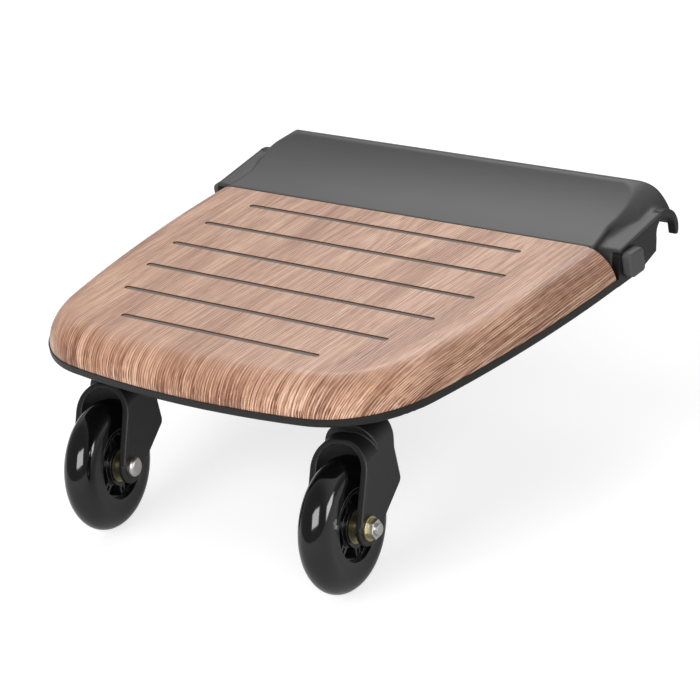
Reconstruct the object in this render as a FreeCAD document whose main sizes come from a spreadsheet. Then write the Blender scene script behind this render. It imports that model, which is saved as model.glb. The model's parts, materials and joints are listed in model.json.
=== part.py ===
import FreeCAD, Part
import math
import os
import re

import Sketcher
from FreeCAD import Rotation, Vector

# Buggy board: a platform that hooks onto the rear tube of a stroller and rolls on two swivelling casters.
# Millimetres and degrees. The X axis is the centre line of the stroller's tube, +Y points towards the
# stroller and +Z is up. A setback is a distance behind the tube, towards -Y; a rise is a height above it.

SIZES = {
    # Stroller tube, and the hooks that drop over it
    "tube_diameter": 22.0,
    "tube_clearance": 0.1,
    "hook_thickness": 4.0,
    "hook_drop": 7.0,
    "throat_flare": 2.4,
    "chin_run": 22.0,
    "chin_rise": 5.9,
    "bracket_width": 6.0,
    "seam_gap": 0.2,
    # Wood-look deck
    "deck_rise": 13.0,
    "deck_height": 21.4,
    "deck_width": 360.0,
    "deck_reach": 303.7,
    "deck_wall": 3.5,
    "seam_setback": 61.0,
    "widest_setback": 66.5,
    "side_bow_radius": 846.0,
    "near_bow_radius": 711.0,
    "corner_radius": 72.9,
    "side_band": 21.5,
    "near_band": 23.0,
    "band_power": 1.14,
    # Slits in the deck and the grey tread mat below them
    "slit_setback": 83.0,
    "slit_near_inset": 48.2,
    "slit_width": 4.2,
    "slit_depth": 0.8,
    "mat_thickness": 2.0,
    "mat_clearance": 0.15,
    "mat_side_inset": 42.0,
    "mat_near_inset": 38.0,
    "mat_far_inset": 4.0,
    # Tray under the deck
    "tray_depth": 5.9,
    "tray_margin": 1.0,
    "tray_setback": 14.0,
    "tray_edge_radius": 2.0,
    "rib_thickness": 2.5,
    "rib_spacing": 38.0,
    "rib_side_inset": 50.0,
    "rib_first_setback": 100.0,
    "rib_near_inset": 89.0,
    # Screws from below
    "screw_radius": 2.0,
    "screw_head_radius": 3.8,
    "screw_head_height": 2.2,
    "screw_length": 14.0,
    "screw_clearance": 0.2,
    "boss_radius": 4.5,
    # Cover over the tube
    "cover_wall": 3.0,
    "channel_gap": 0.8,
    "ear_setback": 60.0,
    "ear_lean": 7.5,
    "ear_rise": 9.2,
    "crest_rise": 29.5,
    "crest_setback": -8.5,
    "crest_radius": 9.0,
    "crest_start": 120.0,
    "ramp_radius": 190.0,
    "saddle_drop": 3.5,
    "lip_thickness": 1.8,
    "lip_end_setback": 2.0,
    # Twisted ends of the cover's hump, inset from the brackets' outer faces
    "end_seam_inset": 15.7,
    "end_apex_inset": 20.0,
    "end_apex_setback": 36.0,
    "end_apex_rise": 17.5,
    "end_ridge_inset": 26.7,
    "end_ridge_rise": 33.2,
    "end_foot_spread": 8.3,
    "end_far_reach": 20.0,
    "end_bulge_depth": 1.0,
    "end_round": 2.0,
    "end_roll_radius": 30.0,
    # Release buttons and the latches that they draw back
    "button_width": 16.0,
    "button_height": 17.5,
    "button_proud": 7.0,
    "button_setback": 43.8,
    "button_drop": 2.2,
    "button_round": 3.5,
    "button_edge": 2.0,
    "button_clearance": 0.3,
    "flange_thickness": 2.7,
    "flange_rise": 1.5,
    "latch_inset": 10.0,
    "latch_width": 12.0,
    "latch_height": 6.0,
    "latch_gap": 0.5,
    "latch_tail_setback": 45.0,
    "latch_throw": 6.0,
    "latch_nose_setback": 5.0,
    "nose_height": 2.6,
    "cam_setback": 32.0,
    "cam_depth": 10.0,
    "cam_reach": 7.8,
    "cam_height": 4.0,
    "cam_tip": 2.0,
    "cam_gap": 0.42,
    # Latch springs
    "spring_wire": 0.7,
    "spring_radius": 1.8,
    "spring_pocket_radius": 2.5,
    "spring_pocket_depth": 8.0,
    "spring_seat": 1.4,
    "spring_seat_height": 5.0,
    # Caster placing
    "caster_side_inset": 74.4,
    "caster_near_inset": 52.7,
    "caster_trail": 38.0,
    "swivel_left": 12.2,
    "swivel_right": 9.5,
    "axle_drop": 87.4,
    # Caster socket and stem
    "socket_radius": 12.5,
    "socket_drop": 5.7,
    "socket_rise": 9.0,
    "bush_wall": 2.0,
    "bush_flange": 1.0,
    "bush_flange_radius": 11.5,
    "stem_radius": 6.0,
    "stem_clearance": 0.05,
    "stem_depth": 18.0,
    "clip_thickness": 1.2,
    "clip_radius": 9.0,
    "swivel_gap": 0.4,
    # Caster fork
    "fork_width": 39.5,
    "fork_slot": 33.0,
    "fork_boss": 11.5,
    "fork_lean": 28.6,
    "fork_front": 54.0,
    "fork_rear_rise": 27.5,
    "fork_rear": 45.5,
    "fork_back": 44.5,
    "neck_radius": 10.0,
    "neck_height": 7.0,
    "neck_round": 1.9,
    "crown_margin": 2.0,
    "fork_corner_round": 4.0,
    "arch_radius": 53.0,
    "arch_round": 15.5,
    "shoulder_round": 18.0,
    "bead_width": 3.0,
    "bead_proud": 1.2,
    # Wheel
    "wheel_diameter": 90.0,
    "wheel_width": 23.0,
    "shoulder_radius": 32.0,
    "crown_radius": 9.0,
    "tyre_bore": 25.5,
    "rim_wall": 2.4,
    "web_thickness": 16.0,
    "window_inner_radius": 14.4,
    "window_outer_radius": 22.3,
    "window_half_angle": 22.0,
    "slot_width": 2.2,
    # Bearings and axle
    "bearing_radius": 11.0,
    "bearing_width": 7.0,
    "bearing_inset": 0.5,
    "race_radius": 6.2,
    "race_clearance": 0.1,
    "hub_wall": 2.6,
    "axle_radius": 4.0,
    "axle_clearance": 0.05,
    "spacer_radius": 5.6,
    "washer_radius": 8.2,
    "washer_thickness": 1.6,
    "nut_flats": 11.5,
    "nut_height": 4.2,
    "bolt_tip_length": 2.0,
    "bolt_head_radius": 6.8,
    "bolt_head_height": 4.4,
    "bolt_head_round": 2.6,
    # Cuts run past the faces that they open by this much
    "overrun": 1.0,
}

SIDES = {"left": -1, "right": 1}
SLIT_LENGTH_SHARES = (0.671, 0.742, 0.742, 0.7065, 0.6455, 0.483)
BAND_ANGLES = (0, 25, 45, 62, 78, 90)
DECK_SCREW_SHARES = ((0.418, 0.31), (0.404, 0.57), (0.19, 0.925))
COVER_SCREW_SHARES = ((0.125, 0.6), (0.342, 0.6))
RIB_ROWS = 3
WINDOW_COUNT = 6
WINDOW_FOOT_SHARE = 0.8
SPRING_TURNS = 5

document = FreeCAD.newDocument("buggy_board")
sheet = document.addObject("Spreadsheet::Sheet", "sizes")
pieces = []


def fill_sheet():
    """Puts the driving dimensions into the sheet, one aliased cell each."""
    for row, (name, number) in enumerate(SIZES.items(), start=1):
        sheet.set(f"A{row}", name)
        sheet.set(f"B{row}", str(number))
        sheet.setAlias(f"B{row}", name)
    document.recompute()


def cells(formula):
    """A formula in size names, turned into one that reads the sheet."""
    return re.sub(r"[a-z_]+", lambda word: "sizes." * (word[0] in SIZES) + word[0], str(formula))


def size(formula):
    """The number that a formula in size names gives."""
    return float(sheet.evalExpression(cells(formula)))


# Formulas that several pieces share
TUBE = "(tube_diameter / 2 + tube_clearance)"
HOOK = f"({TUBE} + hook_thickness)"
CHANNEL = f"({TUBE} + channel_gap)"
DECK_BASE = "(deck_rise - deck_height)"
SLIT_PITCH = f"((deck_reach - slit_setback - slit_near_inset) / {len(SLIT_LENGTH_SHARES) - 1})"
TRAY_BASE = f"({DECK_BASE} - tray_depth)"
RIB_PITCH = f"((deck_reach - rib_first_setback - rib_near_inset) / {RIB_ROWS - 1})"
EAR = "(deck_width / 2 - bracket_width)"
LATCH_OUT = f"({EAR} - latch_inset)"
LATCH_LOW = f"({DECK_BASE} + latch_gap)"
FORK_TOP = f"(axle_drop + {TRAY_BASE} - socket_drop - bush_flange - swivel_gap)"
EAR_SLOPE = f"(({HOOK} - ear_rise) / (ear_setback - ear_lean))"
CASTER_ACROSS = "(deck_width / 2 - caster_side_inset)"
CASTER_BACK = "(deck_reach - caster_near_inset)"
STEM_TOP = f"(axle_drop + {DECK_BASE} + socket_rise + clip_thickness * 2)"


# Building blocks

def new_body(label):
    body = document.addObject("PartDesign::Body", label)
    body.Label = label
    pieces.append(body)
    return body


def new_sketch(body, name, role, offset="0"):
    """A sketch on one of the body's own planes, moved along that plane's normal."""
    plane = next(item for item in body.Origin.OriginFeatures if item.Role == role)
    sketch = body.newObject("Sketcher::SketchObject", f"{body.Label}_{name}")
    sketch.AttachmentSupport = [(plane, "")]
    sketch.MapMode = "FlatFace"
    sketch.setExpression("AttachmentOffset.Base.z", cells(offset))
    return sketch


def constrain(sketch, formula, kind, *where):
    """Adds a dimension to a sketch and binds it to the sheet."""
    place = sketch.addConstraint(Sketcher.Constraint(kind, *where, size(formula)))
    sketch.setExpression(f"Constraints[{place}]", cells(formula))


def fix_point(sketch, edge, end, across, along):
    constrain(sketch, across, "DistanceX", -1, 1, edge, end)
    constrain(sketch, along, "DistanceY", -1, 1, edge, end)


def join(sketch, kind, *ends):
    sketch.addConstraint(Sketcher.Constraint(kind, *ends))


def add_polygon(sketch, corners):
    """Straight edges through corners that are pairs of formulas."""
    points = [Vector(size(across), size(along), 0) for across, along in corners]
    first = sketch.GeometryCount
    for here, there in zip(points, points[1:] + points[:1]):
        sketch.addGeometry(Part.LineSegment(here, there))
    for step, (across, along) in enumerate(corners):
        fix_point(sketch, first + step, 1, across, along)
        join(sketch, "Coincident", first + step, 2, first + (step + 1) % len(corners), 1)


def add_circle(sketch, across, along, radius):
    centre = Vector(size(across), size(along), 0)
    edge = sketch.addGeometry(Part.Circle(centre, Vector(0, 0, 1), size(radius)))
    fix_point(sketch, edge, 3, across, along)
    constrain(sketch, radius, "Radius", edge)


def add_slot(sketch, half_length, along, half_width):
    """A straight slot along the sketch's first axis, with round ends."""
    reach, level, half = size(half_length), size(along), size(half_width)
    upright = Vector(0, 0, 1)
    right = Part.Circle(Vector(reach, level, 0), upright, half)
    left = Part.Circle(Vector(-reach, level, 0), upright, half)
    first = sketch.GeometryCount
    sketch.addGeometry(Part.ArcOfCircle(right, -math.pi / 2, math.pi / 2))
    sketch.addGeometry(Part.LineSegment(Vector(reach, level + half, 0), Vector(-reach, level + half, 0)))
    sketch.addGeometry(Part.ArcOfCircle(left, math.pi / 2, 3 * math.pi / 2))
    sketch.addGeometry(Part.LineSegment(Vector(-reach, level - half, 0), Vector(reach, level - half, 0)))
    for step in range(4):
        join(sketch, "Tangent", first + step, 2, first + (step + 1) % 4, 1)
    fix_point(sketch, first, 3, half_length, along)
    fix_point(sketch, first + 2, 3, f"-({half_length})", along)
    constrain(sketch, half_width, "Radius", first)
    constrain(sketch, half_width, "Radius", first + 2)


def add_arch(sketch, half_width, foot, top, corner):
    """An upright outline with a flat foot and two rounded upper corners."""
    half, low, high, bend = size(half_width), size(foot), size(top), size(corner)
    upright = Vector(0, 0, 1)
    right = Part.Circle(Vector(half - bend, high - bend, 0), upright, bend)
    left = Part.Circle(Vector(bend - half, high - bend, 0), upright, bend)
    first = sketch.GeometryCount
    sketch.addGeometry(Part.LineSegment(Vector(-half, low, 0), Vector(half, low, 0)))
    sketch.addGeometry(Part.LineSegment(Vector(half, low, 0), Vector(half, high - bend, 0)))
    sketch.addGeometry(Part.ArcOfCircle(right, 0, math.pi / 2))
    sketch.addGeometry(Part.LineSegment(Vector(half - bend, high, 0), Vector(bend - half, high, 0)))
    sketch.addGeometry(Part.ArcOfCircle(left, math.pi / 2, math.pi))
    sketch.addGeometry(Part.LineSegment(Vector(-half, high - bend, 0), Vector(-half, low, 0)))
    join(sketch, "Coincident", first, 2, first + 1, 1)
    for step in range(1, 5):
        join(sketch, "Tangent", first + step, 2, first + step + 1, 1)
    join(sketch, "Coincident", first + 5, 2, first, 1)
    fix_point(sketch, first, 1, f"-({half_width})", foot)
    fix_point(sketch, first, 2, half_width, foot)
    fix_point(sketch, first + 2, 3, f"{half_width} - {corner}", f"{top} - {corner}")
    fix_point(sketch, first + 4, 3, f"{corner} - ({half_width})", f"{top} - {corner}")


def add_feature(body, kind, name, sketch, length=None, symmetric=False, reverse=False):
    """A pad or pocket of the sketch; with no length it goes right through."""
    feature = body.newObject(f"PartDesign::{kind}", f"{body.Label}_{name}")
    feature.Profile = sketch
    if length is None:
        feature.Type = "ThroughAll"
    else:
        feature.setExpression("Length", cells(length))
    if symmetric:
        feature.SideType = "Symmetric"
    feature.Reversed = reverse
    body.Tip = feature
    document.recompute()
    return feature


def add_disc(body, name, role, start, length, outer, inner=None, at=("0", "0")):
    """A round pad, bored through where an inner radius is given."""
    sketch = new_sketch(body, name + "_outline", role, start)
    add_circle(sketch, *at, outer)
    if inner is not None:
        add_circle(sketch, *at, inner)
    return add_feature(body, "Pad", name, sketch, length)


def add_fillet(body, name, radius, chosen):
    """Rounds the edges of the body that the test picks."""
    base = body.Tip
    names = [f"Edge{place}" for place, edge in enumerate(base.Shape.Edges, start=1) if chosen(edge)]
    fillet = body.newObject("PartDesign::Fillet", f"{body.Label}_{name}")
    fillet.Base = (base, names)
    fillet.setExpression("Radius", cells(radius))
    body.Tip = fillet
    document.recompute()
    return fillet


def new_shape(label, shape):
    """A sub-part whose shape is worked out from the sheet's sizes."""
    piece = document.addObject("Part::Feature", label)
    piece.Label = label
    piece.Shape = shape
    pieces.append(piece)
    return piece


def place(piece, **formulas):
    for axis, formula in formulas.items():
        piece.setExpression(f"Placement.Base.{axis}", cells(formula))


def place_on_axle(piece, sign):
    """Moves a caster piece, drawn about its axle's middle, to its swivelled place under the board."""
    swivel = "swivel_left" if sign < 0 else "swivel_right"
    place(
        piece,
        x=f"{sign} * {CASTER_ACROSS} + caster_trail * sin({swivel})",
        y=f"-{CASTER_BACK} - caster_trail * cos({swivel})",
        z="-axle_drop",
    )
    piece.setExpression("Placement.Rotation.Angle", cells(swivel))


def near(number, goal):
    return abs(number - goal) < size("overrun") / 100


# Deck, mat and tray

def corner_centre(near_circle, side_circle, bend):
    """Centre of the corner arc that touches the near edge's arc and the side's arc from inside."""
    (x_near, y_near, r_near), (x_side, y_side, r_side) = near_circle, side_circle
    to_near, to_side = r_near - bend, r_side - bend
    apart = math.hypot(x_side - x_near, y_side - y_near)
    along = (to_near ** 2 - to_side ** 2 + apart ** 2) / (2 * apart)
    off = math.sqrt(to_near ** 2 - along ** 2)
    x_unit, y_unit = (x_side - x_near) / apart, (y_side - y_near) / apart
    return x_near + along * x_unit - off * y_unit, y_near + along * y_unit + off * x_unit


def add_board_outline(sketch, near_inset, side_inset, far_setback):
    """The board's plan: bowed near edge, round corners and bowed sides, cut off straight at the far edge."""
    near_radius = f"near_bow_radius - ({near_inset})"
    side_radius = f"side_bow_radius - ({side_inset})"
    bend_radius = f"corner_radius - ({near_inset} + {side_inset}) / 2"
    near_y = "near_bow_radius - deck_reach"
    side_x = "deck_width / 2 - side_bow_radius"
    bend = size(bend_radius)
    near_circle = (0, size(near_y), size(near_radius))
    side_circle = (size(side_x), -size("widest_setback"), size(side_radius))
    bend_x, bend_y = corner_centre(near_circle, side_circle, bend)
    near_turn = math.atan2(bend_y - near_circle[1], bend_x)
    side_turn = math.atan2(bend_y - side_circle[1], bend_x - side_circle[0])
    far_turn = math.asin((-size(far_setback) - side_circle[1]) / side_circle[2])
    far_x = side_circle[0] + side_circle[2] * math.cos(far_turn)
    upright = Vector(0, 0, 1)

    def arc(x, y, radius, start, end):
        sketch.addGeometry(Part.ArcOfCircle(Part.Circle(Vector(x, y, 0), upright, radius), start, end))

    arc(0, near_circle[1], near_circle[2], -math.pi - near_turn, near_turn)
    arc(bend_x, bend_y, bend, near_turn, side_turn)
    arc(*side_circle, side_turn, far_turn)
    far_y = -size(far_setback)
    sketch.addGeometry(Part.LineSegment(Vector(far_x, far_y, 0), Vector(-far_x, far_y, 0)))
    arc(-side_circle[0], *side_circle[1:], math.pi - far_turn, math.pi - side_turn)
    arc(-bend_x, bend_y, bend, math.pi - side_turn, math.pi - near_turn)

    for kind, here, there in (("Tangent", 0, 1), ("Tangent", 1, 2), ("Coincident", 2, 3),
                              ("Coincident", 3, 4), ("Tangent", 4, 5), ("Tangent", 5, 0)):
        join(sketch, kind, here, 2, there, 1)
    fix_point(sketch, 0, 3, "0", near_y)
    fix_point(sketch, 2, 3, side_x, "-widest_setback")
    fix_point(sketch, 4, 3, f"-({side_x})", "-widest_setback")
    radii = {0: near_radius, 1: bend_radius, 2: side_radius, 4: side_radius, 5: bend_radius}
    for edge, radius in radii.items():
        constrain(sketch, radius, "Radius", edge)
    constrain(sketch, f"-({far_setback})", "DistanceY", -1, 1, 3, 1)
    constrain(sketch, f"-({far_setback})", "DistanceY", -1, 1, 3, 2)


def add_band_loft(body, kind, name, wall, far_setback):
    """The deck's rounded form: a flattened quarter ellipse from its lower edge up to the flat top."""
    sections = []
    for angle in BAND_ANGLES:
        level = f"{DECK_BASE} + (deck_height - {wall}) * sin({angle})^band_power"
        sketch = new_sketch(body, f"{name}_{angle}", "XY_Plane", level)
        inset = f"{wall} + {{}} * (1 - cos({angle})^band_power)"
        add_board_outline(sketch, inset.format("near_band"), inset.format("side_band"), far_setback)
        sections.append(sketch)
    loft = body.newObject(f"PartDesign::{kind}", f"{body.Label}_{name}")
    loft.Profile = sections[0]
    loft.Sections = sections[1:]
    body.Tip = loft
    document.recompute()
    return loft


def slit_rows():
    """Half length and place of each slit, from the one by the seam to the one at the near edge."""
    for row, share in enumerate(SLIT_LENGTH_SHARES):
        yield f"deck_width * {share} / 2 - slit_width / 2", f"-slit_setback - {row} * {SLIT_PITCH}"


def deck_screws():
    for across_share, back_share in DECK_SCREW_SHARES:
        for sign in SIDES.values():
            yield f"{sign} * {across_share} * deck_width", f"-{back_share} * deck_reach"


def cover_screws():
    for across_share, back_share in COVER_SCREW_SHARES:
        for sign in SIDES.values():
            yield f"{sign} * {across_share} * deck_width", f"-{back_share} * seam_setback"


def make_deck_panel():
    body = new_body("deck_panel")
    add_band_loft(body, "AdditiveLoft", "skin", "0", "seam_setback")
    add_band_loft(body, "SubtractiveLoft", "hollow", "deck_wall", "seam_setback + deck_wall")
    slits = new_sketch(body, "slits", "XY_Plane", "deck_rise")
    for half_length, along in slit_rows():
        add_slot(slits, half_length, along, "slit_width / 2")
    add_feature(body, "Pocket", "slit_cuts", slits, "deck_wall + overrun")
    bosses = new_sketch(body, "boss_rings", "XY_Plane", DECK_BASE)
    for across, along in deck_screws():
        add_circle(bosses, across, along, "boss_radius")
    add_feature(body, "Pad", "bosses", bosses, "deck_height - deck_wall / 2")
    holes = new_sketch(body, "pilot_rings", "XY_Plane", DECK_BASE)
    for across, along in deck_screws():
        add_circle(holes, across, along, "screw_radius")
    add_feature(body, "Pocket", "pilots", holes, "screw_length - tray_depth + overrun", reverse=True)


def make_tread_mat():
    body = new_body("tread_mat")
    top = "deck_rise - deck_wall"
    plan = new_sketch(body, "plan", "XY_Plane", f"{top} - mat_thickness")
    far = "seam_setback + deck_wall + mat_far_inset"
    add_board_outline(plan, "mat_near_inset", "mat_side_inset", far)
    add_feature(body, "Pad", "sheet", plan, "mat_thickness")
    strips = new_sketch(body, "strips", "XY_Plane", top)
    for half_length, along in slit_rows():
        add_slot(strips, half_length, along, "slit_width / 2 - mat_clearance")
    add_feature(body, "Pad", "treads", strips, "deck_wall - slit_depth")


def make_base_tray():
    body = new_body("base_tray")
    plan = new_sketch(body, "plan", "XY_Plane", TRAY_BASE)
    add_board_outline(plan, "-tray_margin", "-tray_margin", "tray_setback")
    add_feature(body, "Pad", "floor", plan, "tray_depth")
    low = size(TRAY_BASE)
    add_fillet(body, "edge", "tray_edge_radius", lambda edge: near(edge.BoundBox.ZMax, low))
    ends = new_sketch(body, "bracket_steps", "XY_Plane", DECK_BASE)
    for sign in SIDES.values():
        inner, outer = f"{sign} * ({EAR} - seam_gap)", f"{sign} * deck_width"
        back, front = "-ear_setback - seam_gap", "-tray_setback + overrun"
        add_polygon(ends, ((inner, back), (outer, back), (outer, front), (inner, front)))
    add_feature(body, "Pocket", "bracket_cuts", ends, "tray_depth + overrun")
    notch = new_sketch(body, "latch_notches", "XY_Plane", DECK_BASE)
    for sign in SIDES.values():
        inner = f"{sign} * ({LATCH_OUT} - latch_width - latch_gap)"
        outer = f"{sign} * ({LATCH_OUT} + latch_gap)"
        back, front = f"-{CHANNEL} - 2 * latch_throw", "-tray_setback + overrun"
        add_polygon(notch, ((inner, back), (outer, back), (outer, front), (inner, front)))
    add_feature(body, "Pocket", "latch_cuts", notch, "tray_depth + overrun")
    dips = new_sketch(body, "button_dips", "XY_Plane", DECK_BASE)
    for sign in SIDES.values():
        inner, outer = f"{sign} * ({EAR} - latch_throw - overrun)", f"{sign} * {EAR}"
        back, front = (f"-button_setback {edge} (button_width / 2 + latch_gap)" for edge in "-+")
        add_polygon(dips, ((inner, back), (outer, back), (outer, front), (inner, front)))
    dip = f"{DECK_BASE} + button_drop + button_height / 2 + latch_gap"
    add_feature(body, "Pocket", "button_dip_cuts", dips, dip)
    add_tray_ribs(body)
    add_tray_sockets(body)
    add_tray_screw_holes(body)


def add_tray_ribs(body):
    """Ribs that hold the mat and the deck up, and the upright seats behind the latch springs."""
    rib_top = f"deck_rise - deck_wall - mat_thickness - {DECK_BASE}"
    long_ribs = new_sketch(body, "long_ribs", "XY_Plane", DECK_BASE)
    for across in (-2, -1, 1, 2):
        left, right = (f"{across} * rib_spacing {edge} rib_thickness / 2" for edge in "-+")
        back = f"rib_near_inset - {RIB_PITCH} / 2 - deck_reach"
        front = f"{RIB_PITCH} / 2 - rib_first_setback"
        add_polygon(long_ribs, ((left, back), (right, back), (right, front), (left, front)))
    add_feature(body, "Pad", "long_rib_pads", long_ribs, rib_top)
    for row in range(RIB_ROWS):
        cross = new_sketch(body, f"cross_rib_{row}", "XY_Plane", DECK_BASE)
        back, front = (f"-rib_first_setback - {row} * {RIB_PITCH} {edge} rib_thickness / 2" for edge in "-+")
        left, right = "rib_side_inset - deck_width / 2", "deck_width / 2 - rib_side_inset"
        add_polygon(cross, ((left, back), (right, back), (right, front), (left, front)))
        add_feature(body, "Pad", f"cross_rib_pad_{row}", cross, rib_top)
    seats = new_sketch(body, "spring_seats", "XY_Plane", DECK_BASE)
    for sign in SIDES.values():
        inner, outer = f"{sign} * ({LATCH_OUT} - latch_width)", f"{sign} * {LATCH_OUT}"
        front = "-latch_tail_setback - latch_throw - latch_gap"
        back = f"{front} - spring_seat"
        add_polygon(seats, ((inner, back), (outer, back), (outer, front), (inner, front)))
    add_feature(body, "Pad", "spring_seat_pads", seats, "spring_seat_height")


def add_tray_sockets(body):
    """Round sockets for the caster stems, proud of the tray on both faces and bored for the bushes."""
    sockets = new_sketch(body, "sockets", "XY_Plane", f"{TRAY_BASE} - socket_drop")
    bores = new_sketch(body, "socket_bores", "XY_Plane", f"{DECK_BASE} + socket_rise")
    for sign in SIDES.values():
        across = f"{sign} * {CASTER_ACROSS}"
        add_circle(sockets, across, f"-{CASTER_BACK}", "socket_radius")
        add_circle(bores, across, f"-{CASTER_BACK}", "stem_radius + stem_clearance + bush_wall")
    add_feature(body, "Pad", "socket_pads", sockets, "socket_drop + tray_depth + socket_rise")
    add_feature(body, "Pocket", "socket_cuts", bores, "socket_drop + tray_depth + socket_rise + overrun")


def add_tray_screw_holes(body):
    holes = new_sketch(body, "screw_holes", "XY_Plane", DECK_BASE)
    sinks = new_sketch(body, "screw_sinks", "XY_Plane", TRAY_BASE)
    for across, along in [*deck_screws(), *cover_screws()]:
        add_circle(holes, across, along, "screw_radius + screw_clearance")
        add_circle(sinks, across, along, "screw_head_radius + screw_clearance")
    add_feature(body, "Pocket", "screw_cuts", holes, "tray_depth + overrun")
    add_feature(body, "Pocket", "screw_sink_cuts", sinks, "screw_head_height", reverse=True)


def screw_shape(across, along):
    """One pan-head screw, its head in the tray's underside."""
    foot = Vector(size(across), size(along), size(TRAY_BASE))
    head = Part.makeCylinder(size("screw_head_radius"), size("screw_head_height"), foot)
    shank = Part.makeCylinder(size("screw_radius"), size("screw_length"), foot)
    socket = Part.makeCylinder(size("screw_radius"), size("screw_head_height") / 2, foot)
    return head.fuse(shank).cut(socket).removeSplitter()


def make_screws():
    for label, places in (("deck_screws", deck_screws), ("cover_screws", cover_screws)):
        new_shape(label, Part.makeCompound([screw_shape(*spot) for spot in places()]))


# Cover over the tube, with its hooks

def prism(edges, half):
    """A solid with an outline of edges in the YZ plane, from -half to +half across."""
    face = Part.Face(Part.Wire(edges))
    face.translate(Vector(-half, 0, 0))
    return face.extrude(Vector(2 * half, 0, 0))


def chain(points):
    return [Part.makeLine(here, there) for here, there in zip(points, points[1:])]


def yz(along, up):
    return Vector(0, along, up)


def ramp_middle(start, end, radius):
    """Middle of the hollow arc from the seam up to the crest."""
    chord = end - start
    sag = radius - math.sqrt(radius ** 2 - (chord.Length / 2) ** 2)
    return (start + end) * 0.5 + yz(chord.z, -chord.y) * (sag / chord.Length)


def hump_form(inset, half):
    """The swell between the ears: a hollow ramp up from the seam, a round crest and an upright far side."""
    seam = -size("seam_setback") + size("seam_gap") + inset
    low, deck = size(DECK_BASE), size("deck_rise") - inset
    bend = size("crest_radius") - inset
    middle = yz(-size("crest_setback"), size("crest_rise") - size("crest_radius"))
    wall = -size(CHANNEL) - size("cover_wall")

    def on_crest(turn):
        return middle + yz(math.cos(math.radians(turn)), math.sin(math.radians(turn))) * bend

    start, top, far = yz(seam, deck), on_crest(size("crest_start")), on_crest(0)
    edges = chain([yz(seam, low), start])
    edges.append(Part.Arc(start, ramp_middle(start, top, size("ramp_radius")), top).toShape())
    edges.append(Part.Arc(top, on_crest(size("crest_start / 2")), far).toShape())
    edges += chain([far, yz(far.y, 0), yz(wall, 0), yz(wall, low), yz(seam, low)])
    form = prism(edges, half)
    space = end_space(inset)
    return form.cut(space).cut(space.mirror(Vector(0, 0, 0), Vector(1, 0, 0)))


def end_section(along, ridge, foot, bulge):
    """Outline, at one place along the ear, of the space beyond the hump's end face."""
    def corner(across, up):
        return Vector(across, along, up)

    top, out, low = 2 * size("crest_rise"), size("deck_width"), 2 * size(TRAY_BASE)
    upper, lower = corner(*ridge), corner(*foot)
    slope = lower - upper
    swell = Vector(-slope.z, 0, slope.x) * (2 * bulge / slope.Length)
    face = Part.BezierCurve()
    face.setPoles([upper, (upper + lower) * 0.5 + swell, lower])
    beyond = [corner(foot[0], low), corner(out, low), corner(out, top), corner(ridge[0], top)]
    edges = chain([lower, *beyond, upper])
    return Part.Wire([*edges, face.toShape()])


def ear_top(along):
    """Height of the ear's slanted top."""
    return size(HOOK) + size(EAR_SLOPE) * along


def end_space(inset):
    """The space beyond the hump's right end, whose face is upright at the seam and twists to a slope."""
    side = size("deck_width / 2") - inset
    seam, apex, far = -size("seam_setback + overrun"), -size("end_apex_setback"), size("end_far_reach")
    seam_x, apex_x = side - size("end_seam_inset"), side - size("end_apex_inset")
    sections = [
        end_section(seam, (seam_x, size("deck_rise + overrun") - inset), (seam_x, ear_top(seam) - inset), 0),
        end_section(apex, (apex_x, size("end_apex_rise") - inset), (apex_x, ear_top(apex) - inset), 0),
        end_section(far, (side - size("end_ridge_inset"), size("end_ridge_rise") - inset),
                    (side + size("end_foot_spread"), ear_top(far) - inset), size("end_bulge_depth"))]
    return Part.makeLoft(sections, True, True)


def saddle_form(inset, half):
    """The low body from ear to ear: leaning front, rising top and a round far end over the tube."""
    low = size(DECK_BASE)
    outer = size(HOOK)
    lean = size("ear_lean") / (size("ear_rise") - size(TRAY_BASE))
    front = -size("ear_setback") + inset
    brow = yz(front + lean * (size("ear_rise") - inset - size(TRAY_BASE)), size("ear_rise") - inset)
    foot = yz(front + lean * (low - size(TRAY_BASE)), low)
    tip = size("saddle_drop")
    end = yz(math.sqrt(outer ** 2 - tip ** 2), tip)
    middle = yz(outer * math.sqrt(0.5), outer * math.sqrt(0.5))
    wall = -size(CHANNEL) - size("cover_wall")
    if inset:
        back = yz(0, outer - inset)
        edges = chain([foot, brow, back, yz(0, 0), yz(wall, 0), yz(wall, low), foot])
    else:
        back = yz(0, outer)
        edges = chain([foot, brow, back])
        edges.append(Part.Arc(back, middle, end).toShape())
        edges += chain([end, yz(wall, tip), yz(wall, low), foot])
    return prism(edges, half)


def round_ridges(form):
    """Softens the ridges between the hump's ramp and its end faces."""
    side = size("deck_width / 2")
    out, inside = side - size("end_seam_inset"), side - size("end_ridge_inset")

    def on_ridge(edge, sign):
        middle = edge.CenterOfMass
        above = middle.y < 0 and middle.z > ear_top(middle.y)
        return above and inside < sign * middle.x < out and edge.BoundBox.YLength > 2 * size("crest_radius")

    solid = form.Solids[0]
    for sign in SIDES.values():
        solid = solid.makeFillet(size("end_round"), [edge for edge in solid.Edges if on_ridge(edge, sign)])
    return solid


def roll_ends(form, inset):
    """Rounds the hump's upper corners off towards the ears."""
    radius, reach = size("end_roll_radius"), size("deck_width")
    middle = Vector(size(f"{EAR} - seam_gap") - radius, -reach, size("crest_rise") - radius)
    roll = Part.makeCylinder(radius - inset, 2 * reach, middle, Vector(0, 1, 0))
    space = Part.makeBox(reach, 2 * reach, reach, middle).cut(roll)
    return form.cut(space).cut(space.mirror(Vector(0, 0, 0), Vector(1, 0, 0)))


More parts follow.
